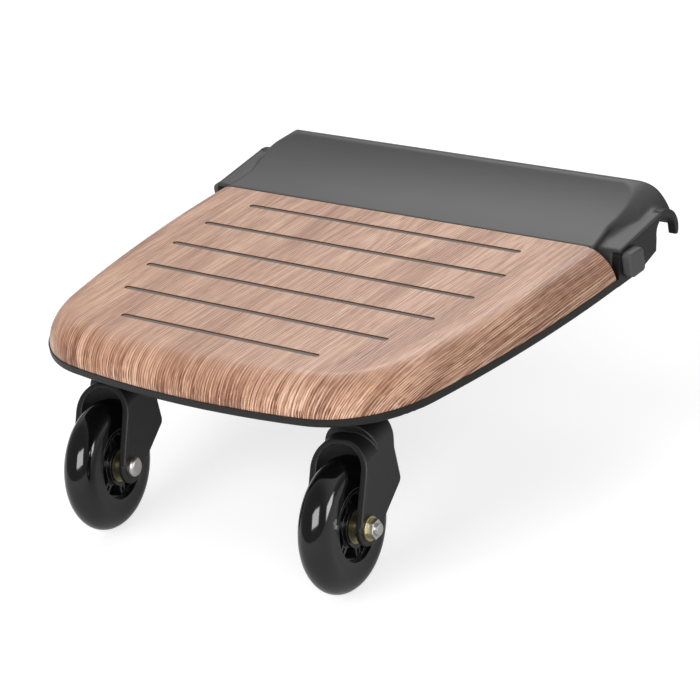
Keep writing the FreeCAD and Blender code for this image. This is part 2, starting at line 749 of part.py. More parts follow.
def lip_form():
    """The thin lips of the ears' tops, which run out over the brackets."""
    brow, end = size("ear_lean - ear_setback"), -size("lip_end_setback")
    thick = size("lip_thickness")
    lean = size("ear_lean") / size(f"ear_rise - {TRAY_BASE}")
    corners = [yz(brow, ear_top(brow)), yz(end, ear_top(end)), yz(end, ear_top(end) - thick),
               yz(brow - lean * thick, ear_top(brow) - thick)]
    return prism(chain(corners + corners[:1]), size("deck_width / 2"))


def make_hook_cover():
    half = size(EAR) - size("seam_gap")
    wall = size("cover_wall")
    span = Vector(-half - size("overrun"), 0, 0)
    length = 2 * (half + size("overrun"))
    across = Vector(1, 0, 0)
    hump = roll_ends(round_ridges(hump_form(0, half)), 0)
    outer = hump.fuse([saddle_form(0, half), lip_form()]).removeSplitter()
    liner = Part.makeCylinder(size(CHANNEL) + wall, length, span, across)
    hollow = roll_ends(hump_form(wall, half + size("overrun")), wall)
    hollow = hollow.fuse(saddle_form(wall, half + size("overrun"))).cut(liner)
    bosses = []
    for spot in cover_screws():
        foot = Vector(size(spot[0]), size(spot[1]), size(DECK_BASE))
        bosses.append(Part.makeCylinder(size("boss_radius"), size("crest_rise"), foot))
    hollow = hollow.cut(Part.makeCompound(bosses))
    tube = Part.makeCylinder(size(CHANNEL), length, span, across)
    cover = outer.cut(hollow).cut(tube)
    cover = cover.cut(throat_block(length, span))
    for opening in latch_windows() + button_reliefs() + pilot_holes():
        cover = cover.cut(opening)
    new_shape("hook_cover", cover.removeSplitter())


def throat_block(length, start):
    """The open space below the tube, as wide as the channel."""
    channel = size(CHANNEL)
    corner = start + yz(-channel, -channel - size("overrun"))
    return Part.makeBox(length, 2 * channel, channel + size("overrun"), corner)


def latch_windows():
    wide = size("latch_width + 2 * latch_gap")
    wall = size(CHANNEL) + size("cover_wall") + size("overrun")
    windows = []
    for sign in SIDES.values():
        middle = sign * (size(LATCH_OUT) - size("latch_width") / 2)
        corner = Vector(middle - wide / 2, -wall, size(DECK_BASE) - size("overrun"))
        tall = size("latch_height + 2 * latch_gap + overrun")
        windows.append(Part.makeBox(wide, wall, tall, corner))
    return windows


def button_reliefs():
    """Room inside the cover's ends for the pressed buttons."""
    gap = size("latch_gap")
    wide, tall = size("button_width") + 2 * gap, size("button_height") + 2 * gap
    deep = size("latch_throw") + 2 * size("overrun")
    reliefs = []
    for sign in SIDES.values():
        middle = sign * (size(EAR) + size("overrun") - deep / 2)
        low = -size("button_drop") - tall / 2
        reliefs.append(Part.makeBox(deep, wide, tall, Vector(
            middle - deep / 2, -size("button_setback") - wide / 2, low)))
    return reliefs


def pilot_holes():
    holes = []
    for across, along in cover_screws():
        foot = Vector(size(across), size(along), size(DECK_BASE) - size("overrun"))
        depth = size("screw_length - tray_depth + 2 * overrun")
        holes.append(Part.makeCylinder(size("screw_radius"), depth, foot))
    return holes


def make_hook_bracket(side, sign):
    """End plate of an ear: the hook over the tube and the window for the button."""
    body = new_body(f"hook_bracket_{side}")
    start = f"{sign} * deck_width / 2 - {(1 + sign) / 2} * bracket_width"
    plate = new_sketch(body, "plate", "YZ_Plane", start)
    throat_y = f"-{TUBE} - throat_flare"
    add_polygon(plate, (
        ("-ear_setback", TRAY_BASE), (f"{throat_y} - chin_run", TRAY_BASE),
        (throat_y, f"{TRAY_BASE} + chin_rise"), (f"-{TUBE}", "0"), ("0", "0"), ("0", HOOK),
        ("-ear_setback + ear_lean", "ear_rise")))
    add_feature(body, "Pad", "plate_pad", plate, "bracket_width")
    add_disc(body, "hook", "YZ_Plane", start, "bracket_width", HOOK)
    step = new_sketch(body, "lip_step", "YZ_Plane", start)
    back, front = "-ear_setback - overrun", "-lip_end_setback + seam_gap"
    top, seat = f"{HOOK} + overrun", f"{HOOK} - lip_thickness - seam_gap + {EAR_SLOPE}"
    add_polygon(step, (
        (back, f"{seat} * ({back})"), (front, f"{seat} * ({front})"), (front, top), (back, top)))
    add_feature(body, "Pocket", "lip_cut", step, "bracket_width", reverse=True)
    throat = new_sketch(body, "throat", "YZ_Plane", start)
    below, beyond = f"-{HOOK} - overrun", f"{HOOK} + overrun"
    add_polygon(throat, (
        (f"-{TUBE}", "0"), (throat_y, f"{TRAY_BASE} + chin_rise"), (throat_y, below), (beyond, below),
        (beyond, "-hook_drop"), (TUBE, "-hook_drop"), (TUBE, "0")))
    add_feature(body, "Pocket", "throat_cut", throat, "bracket_width", reverse=True)
    bore = new_sketch(body, "bore", "YZ_Plane", start)
    add_circle(bore, "0", "0", TUBE)
    add_feature(body, "Pocket", "bore_cut", bore, "bracket_width", reverse=True)
    window = new_sketch(body, "window", "YZ_Plane", start)
    back, front = (f"-button_setback {edge} (button_width / 2 + button_clearance)" for edge in "-+")
    low, high = (f"-button_drop {edge} (button_height / 2 + button_clearance)" for edge in "-+")
    add_polygon(window, ((back, low), (front, low), (front, high), (back, high)))
    add_feature(body, "Pocket", "window_cut", window, "bracket_width", reverse=True)
    in_window = size("button_setback + button_width")
    add_fillet(body, "window_corners", "button_round + button_clearance", lambda edge: (
        near(edge.BoundBox.YLength + edge.BoundBox.ZLength, 0) and edge.CenterOfMass.y > -in_window
        and edge.CenterOfMass.y < -size("button_setback - button_width")
        and abs(edge.CenterOfMass.z) < size("button_height / 2 + button_drop + 2 * button_clearance")))


def make_button(side, sign):
    """Push button: rounded cap outside the bracket, flange behind it and a slanted cam."""
    body = new_body(f"button_{side}")
    flange_out = f"({EAR} - button_clearance)"
    flange_in = f"({flange_out} - flange_thickness)"
    cap_out = "(deck_width / 2 + button_proud)"
    cap = new_sketch(body, "cap", "YZ_Plane", f"{sign} * {flange_out}")
    back, front = (f"-button_setback {edge} button_width / 2" for edge in "-+")
    low, high = (f"-button_drop {edge} button_height / 2" for edge in "-+")
    add_polygon(cap, ((back, low), (front, low), (front, high), (back, high)))
    add_feature(body, "Pad", "cap_pad", cap, f"{cap_out} - {flange_out}", reverse=sign < 0)
    add_fillet(body, "cap_corners", "button_round", lambda edge: near(
        edge.BoundBox.YLength + edge.BoundBox.ZLength, 0))
    face = sign * size(cap_out)
    add_fillet(body, "cap_edge", "button_edge", lambda edge: near(edge.BoundBox.XLength, 0) and near(
        edge.CenterOfMass.x, face))
    flange = new_sketch(body, "flange", "XY_Plane", LATCH_LOW)
    outer, inner = f"{sign} * {flange_out}", f"{sign} * {flange_in}"
    rear, tip = "-button_setback - button_width / 2 + button_round", "-cam_setback + cam_tip"
    add_polygon(flange, ((outer, rear), (outer, tip), (inner, tip), (inner, rear)))
    add_feature(body, "Pad", "flange_pad", flange, f"flange_rise - {LATCH_LOW}")
    cam = new_sketch(body, "cam", "XY_Plane", f"{LATCH_LOW} + latch_height + latch_gap")
    point = f"{sign} * ({LATCH_OUT} - cam_reach)"
    heel = f"{sign} * ({LATCH_OUT} - cam_reach + cam_depth)"
    root = "-cam_setback - cam_depth"
    add_polygon(cam, ((inner, root), (heel, root), (point, "-cam_setback"), (point, tip), (inner, tip)))
    add_feature(body, "Pad", "cam_pad", cam, "cam_height")


def make_latch(side, sign):
    """Sliding bolt: its nose closes the throat below the tube and its heel rides on the button's cam."""
    body = new_body(f"latch_{side}")
    start = f"{sign} * ({LATCH_OUT} - latch_width / 2)"
    bar = new_sketch(body, "bar", "YZ_Plane", start)
    low, high = LATCH_LOW, f"{LATCH_LOW} + latch_height"
    neck, nose = f"-{CHANNEL} - latch_gap * 2", "-latch_nose_setback"
    step = f"{neck} - latch_throw / 2"
    add_polygon(bar, (
        ("-latch_tail_setback", low), (step, low), (step, TRAY_BASE),
        (f"{nose} - nose_height", TRAY_BASE), (nose, f"{TRAY_BASE} + nose_height"),
        (f"{neck} - latch_height + latch_gap", high), ("-latch_tail_setback", high)))
    add_feature(body, "Pad", "bar_pad", bar, "latch_width", symmetric=True)
    heel = new_sketch(body, "heel", "XY_Plane", high)
    inner, outer = f"{sign} * ({LATCH_OUT} - latch_width)", f"{sign} * {LATCH_OUT}"
    slope = f"{sign} * ({LATCH_OUT} - cam_reach - cam_gap)"
    add_polygon(heel, (
        (inner, "-latch_tail_setback"), (outer, "-latch_tail_setback"),
        (outer, "-cam_setback - cam_reach - cam_gap"), (slope, "-cam_setback"), (inner, "-cam_setback")))
    add_feature(body, "Pad", "heel_pad", heel, "latch_gap + cam_height")
    pocket = new_sketch(body, "spring_pocket", "XZ_Plane", "latch_tail_setback")
    add_circle(pocket, start, f"{LATCH_LOW} + latch_height / 2", "spring_pocket_radius")
    add_feature(body, "Pocket", "spring_bore", pocket, "spring_pocket_depth")


def make_latch_spring(side, sign):
    """Compression spring between its seat on the tray and the floor of the latch's pocket."""
    wire, coil = size("spring_wire / 2"), size("spring_radius")
    back = -size("latch_tail_setback + latch_throw + latch_gap") + wire
    front = -size("latch_tail_setback - spring_pocket_depth") - wire
    pitch = (front - back) / SPRING_TURNS
    helix = Part.makeHelix(pitch, front - back, coil)
    profile = Part.Wire(Part.makeCircle(wire, Vector(coil, 0, 0), Vector(0, 1, 0)))
    spring = Part.Wire(helix.Edges).makePipeShell([profile], True, True)
    piece = new_shape(f"latch_spring_{side}", spring)
    across, level = sign * size(f"{LATCH_OUT} - latch_width / 2"), size(f"{LATCH_LOW} + latch_height / 2")
    piece.Placement = FreeCAD.Placement(Vector(across, back, level), Rotation(Vector(1, 0, 0), -90))


# Casters, drawn about the middle of the axle: X along the axle, +Y towards the swivel axis

def make_fork(side, sign):
    """Swivel fork: leaning arms with a blunt rear corner and a beaded front, and a round neck above."""
    body = new_body(f"caster_fork_{side}")
    lean_y, lean_z = "-fork_boss * cos(fork_lean)", "fork_boss * sin(fork_lean)"
    brow_y, brow_z = f"{lean_y} + fork_front * sin(fork_lean)", f"{lean_z} + fork_front * cos(fork_lean)"
    heel_y, heel_z = "fork_boss * sin(fork_rear_rise)", "-fork_boss * cos(fork_rear_rise)"
    corner_y = f"{heel_y} + fork_rear * cos(fork_rear_rise)"
    corner_z = f"{heel_z} + fork_rear * sin(fork_rear_rise)"
    neck_low = f"({FORK_TOP} - neck_height)"
    outline = new_sketch(body, "outline", "YZ_Plane")
    add_polygon(outline, (
        (lean_y, lean_z), ("0", "0"), (heel_y, heel_z), (corner_y, corner_z),
        ("fork_back", f"({corner_z} + {neck_low}) / 2"),
        ("caster_trail + neck_radius + crown_margin", neck_low),
        ("caster_trail - neck_radius - crown_margin", neck_low), (brow_y, brow_z)))
    add_feature(body, "Pad", "arms", outline, "fork_width", symmetric=True)
    rear = size(corner_y)
    add_fillet(body, "rear_corner", "fork_corner_round", lambda edge: (
        near(edge.CenterOfMass.y, rear) and near(edge.BoundBox.YLength, 0)))
    add_disc(body, "boss", "YZ_Plane", "-fork_width / 2", "fork_width", "fork_boss")
    bead = new_sketch(body, "bead", "YZ_Plane")
    back_y, back_z = "bead_width * cos(fork_lean)", "-bead_width * sin(fork_lean)"
    add_polygon(bead, (
        (lean_y, lean_z), (f"{lean_y} + {back_y}", f"{lean_z} + {back_z}"),
        (f"{brow_y} + {back_y}", f"{brow_z} + {back_z}"), (brow_y, brow_z)))
    add_feature(body, "Pad", "bead_pad", bead, "fork_width + 2 * bead_proud", symmetric=True)
    trim_shoulders(body, "front", "fork_width / 2 + bead_proud", f"{brow_z} + overrun / 4")
    trim_shoulders(body, "rear", "fork_width / 2", neck_low)
    add_disc(body, "neck", "XY_Plane", f"{neck_low} - neck_height", "2 * neck_height", "neck_radius",
             at=("0", "caster_trail"))
    add_fillet(body, "neck_foot", "neck_round", on_neck_foot)
    cut_wheel_arch(body)
    add_bore(body, "stem_bore", "XY_Plane", FORK_TOP, "stem_depth", "stem_radius", ("0", "caster_trail"))
    bore = new_sketch(body, "axle_holes", "YZ_Plane")
    add_circle(bore, "0", "0", "axle_radius + axle_clearance")
    add_feature(body, "Pocket", "axle_bore", bore, "fork_width * 2", symmetric=True)
    place_on_axle(body, sign)


def on_neck_foot(edge):
    """True for the edges where the fork's neck rises out of its crown."""
    middle = edge.valueAt((edge.FirstParameter + edge.LastParameter) / 2)
    off_axis = math.hypot(middle.x, middle.y - size("caster_trail"))
    upright = near(edge.BoundBox.XLength + edge.BoundBox.YLength, 0)
    below_top = edge.BoundBox.ZMax < size(FORK_TOP) - size("overrun")
    return near(off_axis, size("neck_radius")) and below_top and not upright


def trim_shoulders(body, name, half_width, top):
    """Rounds the fork's shoulders in front of its neck, or from there back."""
    trim = new_sketch(body, f"{name}_trim", "XZ_Plane", "neck_radius + crown_margin - caster_trail")
    wide, deep, high = "fork_width", "-fork_boss - overrun", f"{FORK_TOP} + overrun"
    add_polygon(trim, ((f"-({wide})", deep), (wide, deep), (wide, high), (f"-({wide})", high)))
    add_arch(trim, half_width, f"{deep} + overrun / 2", top, "shoulder_round")
    depth = "caster_trail + fork_front"
    add_feature(body, "Pocket", f"{name}_shoulders", trim, depth, reverse=name == "front")


def add_bore(body, name, role, start, depth, radius, at):
    sketch = new_sketch(body, name + "_ring", role, start)
    add_circle(sketch, *at, radius)
    add_feature(body, "Pocket", name, sketch, depth)


def cut_wheel_arch(body):
    """The wheel's space: the tyre's section, larger all round, turned about the axle."""
    sketch = new_sketch(body, "wheel_space", "XZ_Plane")
    add_arch(sketch, "fork_slot / 2", "0", "arch_radius", "arch_round")
    groove = body.newObject("PartDesign::Groove", f"{body.Label}_wheel_arch")
    groove.Profile = sketch
    groove.ReferenceAxis = (sketch, ["H_Axis"])
    groove.Angle = 360
    body.Tip = groove
    document.recompute()


def make_stem(side, sign):
    """Steel pin from the fork's neck up through the tray's bush."""
    body = new_body(f"caster_stem_{side}")
    start = f"{FORK_TOP} - stem_depth"
    length = f"{STEM_TOP} - ({start})"
    add_disc(body, "pin", "XY_Plane", start, length, "stem_radius", at=("0", "caster_trail"))
    groove_start = f"axle_drop + {DECK_BASE} + socket_rise + swivel_gap / 4"
    ring = new_sketch(body, "clip_ring", "XY_Plane", groove_start)
    add_circle(ring, "0", "caster_trail", "stem_radius * 2")
    add_circle(ring, "0", "caster_trail", "stem_radius - clip_thickness / 2")
    add_feature(body, "Pocket", "clip_groove", ring, "clip_thickness", reverse=True)
    place_on_axle(body, sign)
    clip = new_body(f"stem_clip_{side}")
    add_disc(clip, "ring", "XY_Plane", groove_start, "clip_thickness", "clip_radius",
             "stem_radius - clip_thickness / 2", at=("0", "caster_trail"))
    place_on_axle(clip, sign)


def make_bush(side, sign):
    """Flanged plastic bush in the tray's socket."""
    body = new_body(f"caster_bush_{side}")
    bore = "stem_radius + stem_clearance"
    low = f"{TRAY_BASE} - socket_drop"
    height = "socket_drop + tray_depth + socket_rise"
    add_disc(body, "sleeve", "XY_Plane", low, height, f"{bore} + bush_wall", bore)
    add_disc(body, "flange", "XY_Plane", f"{low} - bush_flange", "bush_flange", "bush_flange_radius", bore)
    place(body, x=f"{sign} * {CASTER_ACROSS}", y=f"-{CASTER_BACK}")


def along_axle(outer, inner, start, length):
    """A ring about the axle, from start on along X."""
    foot, way = Vector(start, 0, 0), Vector(1, 0, 0)
    return Part.makeCylinder(outer, length, foot, way).cut(Part.makeCylinder(inner, length, foot, way))


def paired(outer, inner, start, length):
    """The same ring on both sides of the wheel."""
    return Part.makeCompound([along_axle(outer, inner, foot, length) for foot in (start, -start - length)])


def make_tyre(side, sign):
    """Solid tyre: flat sides up to a shoulder, then a rounded crown."""
    half, bore, rim = size("wheel_width / 2"), size("tyre_bore"), size("shoulder_radius")
    outer, crown = size("wheel_diameter / 2"), size("crown_radius")
    rise = outer - rim
    flank = (rise ** 2 - 2 * rise * crown + half ** 2) / (2 * (half - crown))
    turn = math.atan2(rise - crown, flank - half)

    def xz(across, up):
        return Vector(across, 0, up)

    def crown_point(angle):
        return crown * math.cos(angle), outer - crown + crown * math.sin(angle)

    def flank_point(angle):
        return half - flank + flank * math.cos(angle), rim + flank * math.sin(angle)

    across, up = crown_point(turn)
    middle_across, middle_up = flank_point(turn / 2)
    edges = chain([xz(-half, rim), xz(-half, bore), xz(half, bore), xz(half, rim)])
    edges.append(Part.Arc(xz(half, rim), xz(middle_across, middle_up), xz(across, up)).toShape())
    edges.append(Part.Arc(xz(across, up), xz(0, outer), xz(-across, up)).toShape())
    edges.append(Part.Arc(xz(-across, up), xz(-middle_across, middle_up), xz(-half, rim)).toShape())
    tyre = Part.Face(Part.Wire(edges)).revolve(Vector(0, 0, 0), Vector(1, 0, 0), 360)
    place_on_axle(new_shape(f"tyre_{side}", tyre), sign)


def window_corners(turn):
    """Corners of one window in the hub's web."""
    foot, top = f"window_half_angle * {WINDOW_FOOT_SHARE}", "window_half_angle"
    places = (("window_inner_radius", f"-{foot}"), ("window_inner_radius", f"+{foot}"),
              ("window_outer_radius", f"+{top}"), ("window_outer_radius", f"-{top}"))
    return [(f"{radius} * cos({turn} {swing})", f"{radius} * sin({turn} {swing})")
            for radius, swing in places]


def slot_corners(turn):
    """Corners of one radial slot between two windows."""
    inner, outer = "(window_inner_radius + slot_width)", "(window_outer_radius - slot_width)"
    right, left = "(slot_width / 2)", "(-slot_width / 2)"
    places = ((inner, left), (inner, right), (outer, right), (outer, left))
    return [(f"{radius} * cos({turn}) - {off} * sin({turn})", f"{radius} * sin({turn}) + {off} * cos({turn})")
            for radius, off in places]


def make_hub(side, sign):
    """Moulded hub: rim, bearing housing and a web with windows and a slot in each spoke."""
    body = new_body(f"hub_{side}")
    add_disc(body, "rim", "YZ_Plane", "-wheel_width / 2", "wheel_width", "tyre_bore", "tyre_bore - rim_wall")
    add_disc(body, "web", "YZ_Plane", "-web_thickness / 2", "web_thickness", "tyre_bore - rim_wall / 2",
             "bearing_radius + hub_wall / 2")
    add_disc(body, "housing", "YZ_Plane", "-wheel_width / 2 + bearing_inset",
             "wheel_width - 2 * bearing_inset", "bearing_radius + hub_wall", "bearing_radius")
    stop = "wheel_width / 2 - bearing_inset - bearing_width"
    add_disc(body, "stop", "YZ_Plane", f"-({stop})", f"2 * ({stop})", "bearing_radius + hub_wall / 2",
             "bearing_radius - hub_wall / 2")
    windows = new_sketch(body, "windows", "YZ_Plane")
    slots = new_sketch(body, "slots", "YZ_Plane")
    for step in range(WINDOW_COUNT):
        add_polygon(windows, window_corners(360 / WINDOW_COUNT * step))
        add_polygon(slots, slot_corners(360 / WINDOW_COUNT * (step + 1 / 2)))
    add_feature(body, "Pocket", "window_cuts", windows, "web_thickness * 2", symmetric=True)
    add_feature(body, "Pocket", "slot_cuts", slots, "web_thickness * 2", symmetric=True)
    place_on_axle(body, sign)


def make_bearings(side, sign):
    """Two ball bearings in the hub: outer rings turn with the wheel, inner rings stay with the axle."""
    inset, width = size("bearing_inset"), size("bearing_width")
    start = size("wheel_width / 2") - inset - width
    race, axle = size("race_radius"), size("axle_radius + axle_clearance")
    outer = paired(size("bearing_radius"), race + size("race_clearance"), start, width)
    place_on_axle(new_shape(f"bearing_outer_rings_{side}", outer), sign)
    place_on_axle(new_shape(f"bearing_inner_rings_{side}", paired(race, axle, start, width)), sign)
    spacer = along_axle(size("spacer_radius"), axle, -start, 2 * start)
    place_on_axle(new_shape(f"bearing_spacer_{side}", spacer), sign)
    collar = paired(race, axle, start + width, size("fork_slot / 2") - start - width)
    place_on_axle(new_shape(f"axle_collars_{side}", collar), sign)


def make_axle(side, sign):
    """Axle bolt with its round head on the inner arm, and washer and nut on the outer one."""
    body = new_body(f"axle_bolt_{side}")
    arm = "fork_width / 2"
    shank = "fork_width + washer_thickness + nut_height + bolt_tip_length"
    start = f"-{arm}" if sign > 0 else f"{arm} - ({shank})"
    add_disc(body, "shank", "YZ_Plane", start, shank, "axle_radius")
    head = f"-{arm} - bolt_head_height" if sign > 0 else arm
    add_disc(body, "head", "YZ_Plane", head, "bolt_head_height", "bolt_head_radius")
    face = -sign * size(f"{arm} + bolt_head_height")
    add_fillet(body, "head_round", "bolt_head_round", lambda edge: near(edge.BoundBox.XLength, 0) and near(
        edge.CenterOfMass.x, face))
    place_on_axle(body, sign)
    washer = new_body(f"axle_washer_{side}")
    start = arm if sign > 0 else f"-{arm} - washer_thickness"
    bore = "axle_radius + axle_clearance"
    add_disc(washer, "ring", "YZ_Plane", start, "washer_thickness", "washer_radius", bore)
    place_on_axle(washer, sign)
    nut = new_body(f"axle_nut_{side}")
    start = f"{arm} + washer_thickness" if sign > 0 else f"-{arm} - washer_thickness - nut_height"
    hexagon = new_sketch(nut, "hexagon", "YZ_Plane", start)
    add_polygon(hexagon, [(f"nut_flats / sqrt(3) * cos({turn})", f"nut_flats / sqrt(3) * sin({turn})")
                          for turn in range(0, 360, 60)])
    add_circle(hexagon, "0", "0", "axle_radius")
    add_feature(nut, "Pad", "body", hexagon, "nut_height")
    place_on_axle(nut, sign)


def build():
    fill_sheet()
    make_deck_panel()
    make_tread_mat()
    make_base_tray()
    make_hook_cover()
    make_screws()
    for side, sign in SIDES.items():
        make_hook_bracket(side, sign)
        make_button(side, sign)
        make_latch(side, sign)
        make_latch_spring(side, sign)
        make_bush(side, sign)
        make_fork(side, sign)
        make_stem(side, sign)
        make_tyre(side, sign)
        make_hub(side, sign)
        make_bearings(side, sign)
        make_axle(side, sign)
    document.recompute()


def check():
    """Stops before anything is written if a feature failed or a shape is empty or invalid."""
    for item in document.Objects:
        if {"Invalid", "Error"} & set(item.State):
            raise RuntimeError(f"{item.Label} failed to build")
    for piece in pieces:
        if piece.Shape.isNull() or not piece.Shape.isValid() or not piece.Shape.Solids:
            raise RuntimeError(f"{piece.Label} has no valid solid")


def write():
    os.makedirs("parts", exist_ok=True)
    for piece in pieces:
        piece.Shape.exportStep(f"parts/{piece.Label}.step")
        print(f"{piece.Label}: {len(piece.Shape.Solids)} solids, {piece.Shape.Volume:.1f} mm3")


build()
check()
write()
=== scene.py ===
"""Looks of the buggy board: procedural materials, studio light and the photograph's camera."""
import json
import math

import bmesh
import bpy
from mathutils import Matrix, Vector

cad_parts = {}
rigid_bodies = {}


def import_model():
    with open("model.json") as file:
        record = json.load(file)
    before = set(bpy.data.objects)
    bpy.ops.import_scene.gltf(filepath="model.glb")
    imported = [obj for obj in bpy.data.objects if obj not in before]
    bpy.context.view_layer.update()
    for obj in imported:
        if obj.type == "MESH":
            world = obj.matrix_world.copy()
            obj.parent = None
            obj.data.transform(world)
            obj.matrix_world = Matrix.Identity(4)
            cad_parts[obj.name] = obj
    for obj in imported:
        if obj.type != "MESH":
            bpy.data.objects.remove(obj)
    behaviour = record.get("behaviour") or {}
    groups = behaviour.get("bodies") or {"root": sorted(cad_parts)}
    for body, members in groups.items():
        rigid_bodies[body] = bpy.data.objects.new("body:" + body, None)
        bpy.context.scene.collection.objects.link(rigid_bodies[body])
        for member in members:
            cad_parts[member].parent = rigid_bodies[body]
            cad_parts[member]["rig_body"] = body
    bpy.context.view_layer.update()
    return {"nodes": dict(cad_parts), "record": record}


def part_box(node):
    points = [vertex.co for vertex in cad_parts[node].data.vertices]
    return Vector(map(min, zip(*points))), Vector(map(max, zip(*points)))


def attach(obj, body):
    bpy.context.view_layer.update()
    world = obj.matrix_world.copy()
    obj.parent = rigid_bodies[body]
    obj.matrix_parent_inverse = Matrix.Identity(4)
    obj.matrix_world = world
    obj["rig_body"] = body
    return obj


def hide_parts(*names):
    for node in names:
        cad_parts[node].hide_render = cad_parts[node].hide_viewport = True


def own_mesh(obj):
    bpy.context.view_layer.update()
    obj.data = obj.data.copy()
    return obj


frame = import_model()

# Camera of the photograph, in degrees, metres and millimetres of lens on a 36 mm sensor
VIEW_AZIMUTH = 43.602
VIEW_ELEVATION = 25.386
VIEW_ROLL = -10.473
VIEW_DISTANCE = 2.0375
VIEW_TARGET = Vector((-0.0026, -0.1324, -0.0585))
VIEW_LENS = 151.73

# Latch springs, in metres, and how finely they are drawn
SPRING_WIRE = 0.0007
SPRING_TURNS = 5
COIL_STEPS = 24
WIRE_SIDES = 8

# Walnut print: how strongly each layer of the grain shows, and how far the fine comb of lines bends
RING_STRENGTH = 0.06
COMB_STRENGTH = 0.12
PATCH_STRENGTH = 0.42
STREAK_STRENGTH = 0.24
LINE_STRENGTH = 0.5
PORE_STRENGTH = 0.28
COMB_BEND = 16.0

# Walnut print: tone and pits on the top, what the sides add to them, and where a wall counts as upright
TOP_TONE = 0.53
# The sides' drop in tone is painted shade that makes the sloped sides darker
SIDES_PAINTED_SHADE = -0.045
TOP_PITS = 0.35
SIDES_ADD_PITS = 1.2
UPRIGHT_LIMIT = 0.3

# Moulded pieces: size of their faint blotches and how far the tone strays in them
BLOTCH_SCALE = 45.0
BLOTCH_TONE = 0.16

# Studio: the point that the lamps face, the world's light, and the floor's size and strengths
LAMP_AIM = Vector((0, -0.15, -0.02))
WORLD_LIGHT = 0.28
FLOOR_SIZE = 8
FLOOR_GLOW = 0.72
FLOOR_IN_MIRRORS = 0.15
WHITE = (1, 1, 1, 1)

# Levels taken from the frame
DECK_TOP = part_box("deck_panel")[1].z
FLOOR_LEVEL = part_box("tyre_left")[0].z

# Kinds of socket on the shared effects
FLOAT = "NodeSocketFloat"
COLOUR = "NodeSocketColor"
VECTOR = "NodeSocketVector"


def srgb(red, green, blue):
    """A display colour from 0 to 255, as the linear colour that shaders take."""
    def linear(level):
        share = level / 255
        return share / 12.92 if share <= 0.04045 else ((share + 0.055) / 1.055) ** 2.4
    return linear(red), linear(green), linear(blue), 1.0


# Node helpers

def add_node(tree, kind, inputs=None, **settings):
    """A node with its settings; an input is a constant or the socket that feeds it."""
    node = tree.nodes.new(kind)
    for name, value in settings.items():
        setattr(node, name, value)
    for socket, value in (inputs or {}).items():
        if isinstance(value, bpy.types.NodeSocket):
            tree.links.new(value, node.inputs[socket])
        else:
            node.inputs[socket].default_value = value
    return node


def set_values(node, **values):
    """Constants on a node's own sockets, named with underscores for spaces."""
    for label, value in values.items():
        node.inputs[label.replace("_", " ")].default_value = value


def maths(tree, operation, first, second=0.0, third=0.0):
    node = add_node(tree, "ShaderNodeMath", {0: first, 1: second, 2: third}, operation=operation)
    return node.outputs[0]


def noise(tree, vector, scale, detail=2.0, roughness=0.5):
    inputs = {"Vector": vector, "Scale": scale, "Detail": detail, "Roughness": roughness}
    return add_node(tree, "ShaderNodeTexNoise", inputs).outputs[0]


def centred(tree, value):
    """Noise from 0 to 1, as a value about zero."""
    return maths(tree, "SUBTRACT", value, 0.5)


def smooth_step(tree, value, start, end, low=0.0):
    """A value that eases from low at start to one at end."""
    inputs = {"Value": value, "From Min": start, "From Max": end, "To Min": low}
    return add_node(tree, "ShaderNodeMapRange", inputs, interpolation_type="SMOOTHSTEP").outputs[0]


def ramp(tree, value, stops):
    """Colours at places along a value."""
    node = add_node(tree, "ShaderNodeValToRGB", {"Fac": value})
    elements = node.color_ramp.elements
    while len(elements) < len(stops):
        elements.new(1.0)
    for element, (place, colour) in zip(elements, stops):
        element.position = place
        element.color = colour
    return node.outputs["Color"]


def mix_colours(tree, share, first, second):
    """From the first colour to the second; 6, 7 and 2 are the mix node's colour sockets."""
    node = add_node(tree, "ShaderNodeMix", {0: share, 6: first, 7: second}, data_type="RGBA")
    return node.outputs[2]


def mix_shaders(tree, share, first, second):
    inputs = {0: share, 1: first.outputs[0], 2: second.outputs[0]}
    return add_node(tree, "ShaderNodeMixShader", inputs)


def new_group(name, inputs, outputs):
    """A shader node group with named sockets; returns it with its input and output nodes."""
    group = bpy.data.node_groups.new(name, "ShaderNodeTree")
    for label, (kind, default) in inputs.items():
        socket = group.interface.new_socket(name=label, in_out="INPUT", socket_type=kind)
        socket.default_value = default
    for label, kind in outputs.items():
        group.interface.new_socket(name=label, in_out="OUTPUT", socket_type=kind)
    return group, group.nodes.new("NodeGroupInput"), group.nodes.new("NodeGroupOutput")


def use_group(tree, group, **inputs):
    node = tree.nodes.new("ShaderNodeGroup")
    node.node_tree = group
    set_values(node, **inputs)
    return node


# Shared effects

